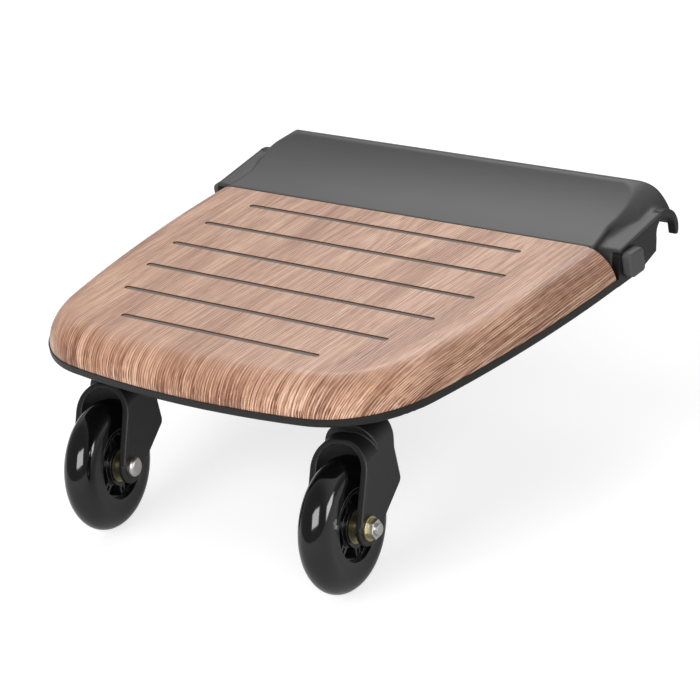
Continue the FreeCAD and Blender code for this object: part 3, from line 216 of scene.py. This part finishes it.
def make_moulded_group():
    """A moulded or cast surface: fine texture, softened and slightly worn edges, uneven tone and gloss."""
    group, inside, outside = new_group(
        "Moulded surface",
        {"Tone": (COLOUR, (0.2, 0.2, 0.2, 1.0)), "Worn tone": (COLOUR, (0.4, 0.4, 0.4, 1.0)),
         "Wear": (FLOAT, 0.3), "Grain scale": (FLOAT, 1800.0), "Grain depth": (FLOAT, 0.00002),
         "Edge radius": (FLOAT, 0.0006), "Roughness": (FLOAT, 0.4), "Unevenness": (FLOAT, 0.06)},
        {"Color": COLOUR, "Normal": VECTOR, "Roughness": FLOAT})
    place = add_node(group, "ShaderNodeTexCoord").outputs["Object"]
    edge = add_node(group, "ShaderNodeBevel", {"Radius": inside.outputs["Edge radius"]}, samples=8)
    softened = edge.outputs["Normal"]
    bump = add_node(group, "ShaderNodeBump", {
        "Strength": 1.0, "Distance": inside.outputs["Grain depth"],
        "Height": noise(group, place, inside.outputs["Grain scale"]), "Normal": softened})
    flat = add_node(group, "ShaderNodeNewGeometry").outputs["Normal"]
    likeness = add_node(group, "ShaderNodeVectorMath", {0: softened, 1: flat}, operation="DOT_PRODUCT")
    bend = maths(group, "SUBTRACT", 1.0, likeness.outputs["Value"])
    rubbed = maths(group, "MULTIPLY", bend, inside.outputs["Wear"])
    blotches = centred(group, noise(group, place, BLOTCH_SCALE, detail=3.0))
    tinted = add_node(group, "ShaderNodeHueSaturation", {
        "Value": maths(group, "MULTIPLY_ADD", blotches, BLOTCH_TONE, 1.0), "Color": inside.outputs["Tone"]})
    worn = mix_colours(group, rubbed, tinted.outputs["Color"], inside.outputs["Worn tone"])
    unevenness = inside.outputs["Unevenness"]
    gloss = maths(group, "MULTIPLY_ADD", blotches, unevenness, inside.outputs["Roughness"])
    group.links.new(worn, outside.inputs["Color"])
    group.links.new(bump.outputs["Normal"], outside.inputs["Normal"])
    group.links.new(gloss, outside.inputs["Roughness"])
    return group


def make_grain_group():
    """Walnut print with its grain along the board, carried on over the rounded sides and near edge."""
    group, inside, outside = new_group(
        "Walnut grain",
        {"Top level": (FLOAT, DECK_TOP), "Slit depth": (FLOAT, 0.006), "Side contrast": (FLOAT, 1.8),
         "Waver": (FLOAT, 0.004), "Ring count": (FLOAT, 150.0), "Comb count": (FLOAT, 2900.0),
         "Streak scale": (FLOAT, 300.0), "Line scale": (FLOAT, 760.0), "Pore scale": (FLOAT, 2000.0),
         "Pit scale": (FLOAT, 1400.0), "Pit strength": (FLOAT, 0.22)},
        {"Color": COLOUR, "Height": FLOAT})
    coords = add_node(group, "ShaderNodeTexCoord")
    place = add_node(group, "ShaderNodeSeparateXYZ", {0: coords.outputs["Object"]})
    facing = add_node(group, "ShaderNodeSeparateXYZ", {0: coords.outputs["Normal"]})
    drop = maths(group, "SUBTRACT", inside.outputs["Top level"], place.outputs["Z"])
    steep = maths(group, "SUBTRACT", 1.0, facing.outputs["Z"])
    wave = centred(group, noise(group, coords.outputs["Object"], scale=16.0, detail=1.0))
    carried = maths(group, "MULTIPLY_ADD", facing.outputs["X"], drop, place.outputs["X"])
    across = maths(group, "MULTIPLY_ADD", wave, inside.outputs["Waver"], carried)
    along = maths(group, "MULTIPLY_ADD", facing.outputs["Y"], drop, place.outputs["Y"])

    def drawn_out(stretch, scale, detail=1.0, roughness=0.5):
        """Noise drawn out along the grain; a smaller stretch gives longer streaks."""
        shrunk = maths(group, "MULTIPLY", along, stretch)
        spot = add_node(group, "ShaderNodeCombineXYZ", {"X": across, "Y": shrunk})
        return noise(group, spot.outputs[0], scale, detail, roughness)

    # Growth rings and the fine comb of lines between them, each fading in and out
    growth = maths(group, "MULTIPLY", drawn_out(stretch=0.14, scale=13.0), inside.outputs["Ring count"])
    rings = maths(group, "MULTIPLY", maths(group, "SINE", growth), drawn_out(stretch=0.2, scale=26.0))
    bent = maths(group, "MULTIPLY", drawn_out(stretch=0.06, scale=60.0), COMB_BEND)
    teeth = maths(group, "SINE", maths(group, "MULTIPLY_ADD", across, inside.outputs["Comb count"], bent))
    comb = maths(group, "MULTIPLY", teeth, drawn_out(stretch=0.1, scale=50.0))
    combed = maths(group, "MULTIPLY", comb, COMB_STRENGTH)
    pattern = maths(group, "MULTIPLY_ADD", rings, RING_STRENGTH, combed)

    # Broad patches, streaks, thin lines and pores
    pore = drawn_out(stretch=0.05, scale=inside.outputs["Pore scale"])
    for layer, strength in (
            (drawn_out(stretch=0.18, scale=28.0, detail=2.0), PATCH_STRENGTH),
            (drawn_out(0.03, inside.outputs["Streak scale"], detail=2.0, roughness=0.6), STREAK_STRENGTH),
            (drawn_out(0.02, inside.outputs["Line scale"], detail=2.0, roughness=0.6), LINE_STRENGTH),
            (pore, PORE_STRENGTH)):
        pattern = maths(group, "MULTIPLY_ADD", centred(group, layer), strength, pattern)

    # Short dark pits in some places, deeper on the sides
    pit = smooth_step(group, drawn_out(0.06, inside.outputs["Pit scale"], detail=0.0), start=0.46, end=0.34)
    pitted = smooth_step(group, drawn_out(stretch=0.25, scale=24.0), start=0.4, end=0.6, low=0.25)
    sunk = maths(group, "MULTIPLY", maths(group, "MULTIPLY", pit, pitted), inside.outputs["Pit strength"])
    deeper = maths(group, "MULTIPLY", sunk, maths(group, "MULTIPLY_ADD", steep, SIDES_ADD_PITS, TOP_PITS))

    # Colours of the print, with more contrast on the sides and painted shade that darkens them
    stronger = maths(group, "MULTIPLY_ADD", steep, inside.outputs["Side contrast"], 1.0)
    # Painted shade: the print's tone drops with steepness, so the sloped sides come out darker
    level = maths(group, "MULTIPLY_ADD", steep, SIDES_PAINTED_SHADE, TOP_TONE)
    value = maths(group, "SUBTRACT", maths(group, "MULTIPLY_ADD", pattern, stronger, level), deeper)
    printed = ramp(group, value, (
        (0.2, srgb(100, 63, 46)), (0.4, srgb(147, 103, 80)), (0.5, srgb(172, 129, 104)),
        (0.62, srgb(196, 155, 129)), (0.8, srgb(222, 188, 162))))

    # Walls of the slits: the film's brown edge over the grey core
    upright = maths(group, "LESS_THAN", facing.outputs["Z"], UPRIGHT_LIMIT)
    cut = maths(group, "MULTIPLY", upright, maths(group, "LESS_THAN", drop, inside.outputs["Slit depth"]))
    sawn = ramp(group, maths(group, "DIVIDE", drop, inside.outputs["Slit depth"]), (
        (0.12, srgb(98, 62, 42)), (0.2, srgb(104, 99, 95))))
    group.links.new(mix_colours(group, cut, printed, sawn), outside.inputs["Color"])
    group.links.new(pore, outside.inputs["Height"])
    return group


MOULDED = make_moulded_group()
GRAIN = make_grain_group()


# Materials

def new_material(name):
    material = bpy.data.materials.new(name)
    material.use_nodes = True
    return material, material.node_tree, material.node_tree.nodes["Principled BSDF"]


def make_moulded(name, tone, worn, roughness, grain_depth=0.00002, edge=0.0006, unevenness=0.06, **values):
    """A plain material whose tone, normal and gloss come from the shared moulded surface."""
    material, tree, shader = new_material(name)
    set_values(shader, **values)
    surface = use_group(tree, MOULDED, Tone=tone, Worn_tone=worn, Roughness=roughness,
                        Grain_depth=grain_depth, Edge_radius=edge, Unevenness=unevenness)
    tree.links.new(surface.outputs["Color"], shader.inputs["Base Color"])
    tree.links.new(surface.outputs["Normal"], shader.inputs["Normal"])
    tree.links.new(surface.outputs["Roughness"], shader.inputs["Roughness"])
    return material


def make_wood():
    """Printed walnut film under a clear satin coat."""
    material, tree, shader = new_material("Walnut film")
    grain = use_group(tree, GRAIN)
    bump = add_node(tree, "ShaderNodeBump", {
        "Strength": 0.2, "Distance": 0.00012, "Height": grain.outputs["Height"]})
    tree.links.new(grain.outputs["Color"], shader.inputs["Base Color"])
    tree.links.new(bump.outputs["Normal"], shader.inputs["Normal"])
    set_values(shader, Roughness=0.4, IOR=1.5, Coat_Weight=0.35, Coat_Roughness=0.25)
    return material


def make_materials():
    """One material for each slot of the record."""
    rubbed = srgb(120, 120, 120)
    bare = srgb(235, 235, 230)
    return {
        "wood_laminate": make_wood(),
        "tread_rubber": make_moulded("Tread mat", srgb(112, 106, 102), rubbed, roughness=0.7),
        "tray_plastic": make_moulded("Tray plastic", srgb(23, 22, 22), rubbed, roughness=0.45,
                                     Specular_IOR_Level=0.38),
        "cover_plastic": make_moulded("Cover plastic", srgb(56, 55, 55), rubbed, roughness=0.4,
                                      edge=0.0045, Specular_IOR_Level=0.45),
        "button_plastic": make_moulded("Button plastic", srgb(74, 74, 74), rubbed, roughness=0.5,
                                       edge=0.001),
        "latch_plastic": make_moulded("Latch plastic", srgb(60, 60, 60), rubbed, roughness=0.45),
        "fork_plastic": make_moulded("Fork plastic", srgb(21, 21, 21), rubbed, roughness=0.45,
                                     edge=0.0018, Specular_IOR_Level=0.4),
        "bush_plastic": make_moulded("Bush plastic", srgb(58, 58, 58), rubbed, roughness=0.4),
        "tyre_urethane": make_moulded("Tyre urethane", srgb(10, 10, 10), rubbed, roughness=0.1,
                                      grain_depth=0.000003, unevenness=0.04, IOR=1.5),
        "hub_plastic": make_moulded("Hub plastic", srgb(18, 18, 18), rubbed, roughness=0.22),
        "bright_steel": make_moulded("Bright steel", srgb(192, 191, 188), bare, roughness=0.36,
                                     grain_depth=0.000006, Metallic=1.0),
        "yellow_zinc": make_moulded("Yellow zinc", srgb(168, 155, 112), bare, roughness=0.4,
                                    grain_depth=0.000006, Metallic=1.0),
        "dark_steel": make_moulded("Dark steel", srgb(80, 78, 76), rubbed, roughness=0.4, Metallic=0.8),
    }


def dress_nodes(materials):
    """The record's slot on each CAD node's surfaces."""
    for part in frame["record"]["subparts"]:
        node = frame["nodes"][part["node"]]
        for place in range(len(node.material_slots)):
            node.material_slots[place].material = materials[part["material_slot"]]


# Latch springs

def spring_rings(low, high):
    """Rings of points round the wire, along a coil that fills the box of the spring's solid."""
    wire = SPRING_WIRE / 2
    coil = (high.x - low.x) / 2 - wire
    middle = (low + high) / 2
    steps = SPRING_TURNS * COIL_STEPS
    angles = [2 * math.pi * side / WIRE_SIDES for side in range(WIRE_SIDES)]
    rings = []
    for step in range(steps + 1):
        turn = 2 * math.pi * step / COIL_STEPS
        outward = Vector((math.cos(turn), 0, math.sin(turn)))
        along = low.y + wire + (high.y - low.y - SPRING_WIRE) * step / steps
        heart = Vector((middle.x, along, middle.z)) + outward * coil
        rings.append([heart + outward * wire * math.cos(angle) + Vector((0, wire * math.sin(angle), 0))
                      for angle in angles])
    return rings


def make_latch_spring(side, material):
    """Compression spring, coiled to fill the box of the latch spring's solid, which it takes the place of.
    """
    node = f"latch_spring_{side}"
    low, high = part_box(node)
    form = bmesh.new()
    rings = [[form.verts.new(point) for point in ring] for ring in spring_rings(low, high)]
    for near, far in zip(rings, rings[1:]):
        for place in range(WIRE_SIDES):
            after = (place + 1) % WIRE_SIDES
            form.faces.new((near[place], near[after], far[after], far[place])).smooth = True
    form.faces.new(rings[0])
    form.faces.new(rings[-1])
    bmesh.ops.recalc_face_normals(form, faces=form.faces)
    mesh = bpy.data.meshes.new(f"coiled_{node}")
    form.to_mesh(mesh)
    form.free()
    mesh.materials.append(material)
    spring = bpy.data.objects.new(f"coiled_{node}", mesh)
    bpy.context.scene.collection.objects.link(spring)
    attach(spring, "board")
    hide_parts(node)
    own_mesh(spring)


# Studio

def sight_masks(tree):
    """Which rays come straight from the camera, and which by way of gloss or glass."""
    path = add_node(tree, "ShaderNodeLightPath")
    mirrored = maths(tree, "MAXIMUM", path.outputs["Is Glossy Ray"], path.outputs["Is Transmission Ray"])
    return path.outputs["Is Camera Ray"], mirrored


def make_world():
    """White to the camera; mirrors see white high up behind the board and dim walls; its light is dim."""
    world = bpy.data.worlds.new("Studio")
    bpy.context.scene.world = world
    world.use_nodes = True
    tree = world.node_tree
    tree.nodes.clear()
    way = add_node(tree, "ShaderNodeSeparateXYZ", {
        0: add_node(tree, "ShaderNodeTexCoord").outputs["Generated"]})
    raised = smooth_step(tree, way.outputs["Z"], start=0.22, end=0.45)
    behind = smooth_step(tree, way.outputs["Y"], start=-0.15, end=0.55)
    by_camera, mirrored = sight_masks(tree)
    reflected = maths(tree, "MULTIPLY", mirrored, maths(tree, "MULTIPLY", raised, behind))
    seen = maths(tree, "MAXIMUM", by_camera, reflected)
    light = add_node(tree, "ShaderNodeBackground", {"Color": WHITE, "Strength": WORLD_LIGHT})
    white = add_node(tree, "ShaderNodeBackground", {"Color": WHITE, "Strength": 1.0})
    mixed = mix_shaders(tree, seen, light, white)
    add_node(tree, "ShaderNodeOutputWorld", {"Surface": mixed.outputs[0]})


def make_floor():
    """Pale floor, seen as white with the board's faint shadow and plain white far off; clear from below."""
    material = bpy.data.materials.new("Floor")
    material.use_nodes = True
    tree = material.node_tree
    tree.nodes.clear()
    pale = add_node(tree, "ShaderNodeBsdfDiffuse", {"Color": srgb(225, 225, 225)})
    shaded = add_node(tree, "ShaderNodeBsdfDiffuse", {"Color": srgb(170, 170, 170)})
    glow = add_node(tree, "ShaderNodeEmission", {"Color": WHITE, "Strength": FLOOR_GLOW})
    near = add_node(tree, "ShaderNodeAddShader", {0: glow.outputs[0], 1: shaded.outputs[0]})
    far = add_node(tree, "ShaderNodeEmission", {"Color": WHITE, "Strength": 1.0})
    place = add_node(tree, "ShaderNodeTexCoord").outputs["Object"]
    away = add_node(tree, "ShaderNodeVectorMath", {0: place}, operation="LENGTH").outputs["Value"]
    white = mix_shaders(tree, smooth_step(tree, away, start=0.6, end=1.8), near, far)
    by_camera, mirrored = sight_masks(tree)
    seen = maths(tree, "MAXIMUM", by_camera, maths(tree, "MULTIPLY", mirrored, FLOOR_IN_MIRRORS))
    mixed = mix_shaders(tree, seen, pale, white)
    below = add_node(tree, "ShaderNodeNewGeometry").outputs["Backfacing"]
    sided = mix_shaders(tree, below, mixed, add_node(tree, "ShaderNodeBsdfTransparent"))
    add_node(tree, "ShaderNodeOutputMaterial", {"Surface": sided.outputs[0]})
    bpy.ops.mesh.primitive_plane_add(size=FLOOR_SIZE, location=(0, 0, FLOOR_LEVEL))
    floor = bpy.context.object
    floor.name = "Floor"
    floor.data.materials.append(material)


def add_softbox(name, way, distance, width, height, watts):
    """A rectangular lamp that stands off from the board's middle in one direction and faces it."""
    light = bpy.data.lights.new(name, "AREA")
    light.shape = "RECTANGLE"
    light.size = width
    light.size_y = height
    light.energy = watts
    lamp = bpy.data.objects.new(name, light)
    bpy.context.scene.collection.objects.link(lamp)
    lamp.location = LAMP_AIM + Vector(way).normalized() * distance
    lamp.rotation_mode = "QUATERNION"
    lamp.rotation_quaternion = (LAMP_AIM - lamp.location).to_track_quat("-Z", "Y")
    return lamp


def make_lights():
    """A softbox behind that the top mirrors, plain fills, and two cards that only the casters mirror."""
    add_softbox("Back softbox", (-0.28, 0.6, 0.68), distance=1.6, width=1.2, height=0.7, watts=6.6)
    fills = (
        add_softbox("Top softbox", (-0.25, -0.1, 1.0), distance=1.8, width=1.2, height=1.2, watts=8),
        add_softbox("Front softbox", (-0.1, -0.85, 0.5), distance=2.0, width=1.2, height=1.2, watts=21),
        add_softbox("Camera softbox", (0.6, -0.63, 0.42), distance=2.6, width=1.2, height=1.2, watts=29))
    for fill in fills:
        fill.visible_glossy = False
    casters = bpy.data.collections.new("Casters")
    for node in frame["nodes"].values():
        if node["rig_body"].startswith(("wheel", "caster")):
            casters.objects.link(node)
    cards = (
        add_softbox("Camera glint card", (0.62, -0.6, 0.46), distance=2.5, width=1.5, height=1.1, watts=50),
        add_softbox("Right glint card", (0.93, 0.3, 0.07), distance=2.5, width=0.8, height=0.9, watts=26))
    for card in cards:
        card.visible_diffuse = False
        card.light_linking.receiver_collection = casters


def make_camera():
    """The photograph's camera, turned about its own line of sight by the roll."""
    azimuth, elevation, roll = map(math.radians, (VIEW_AZIMUTH, VIEW_ELEVATION, VIEW_ROLL))
    back = Vector((math.sin(azimuth) * math.cos(elevation), -math.cos(azimuth) * math.cos(elevation),
                   math.sin(elevation)))
    level = Vector((math.cos(azimuth), math.sin(azimuth), 0))
    upright = back.cross(level)
    right = level * math.cos(roll) + upright * math.sin(roll)
    up = upright * math.cos(roll) - level * math.sin(roll)
    data = bpy.data.cameras.new("Camera")
    data.lens = VIEW_LENS
    camera = bpy.data.objects.new("Camera", data)
    bpy.context.scene.collection.objects.link(camera)
    turn = Matrix((right, up, back)).transposed().to_4x4()
    camera.matrix_world = Matrix.Translation(VIEW_TARGET + back * VIEW_DISTANCE) @ turn
    bpy.context.scene.camera = camera


materials = make_materials()
dress_nodes(materials)
for side in ("left", "right"):
    make_latch_spring(side, materials["bright_steel"])
make_world()
make_floor()
make_lights()
make_camera()
bpy.context.scene.view_settings.view_transform = "Standard"
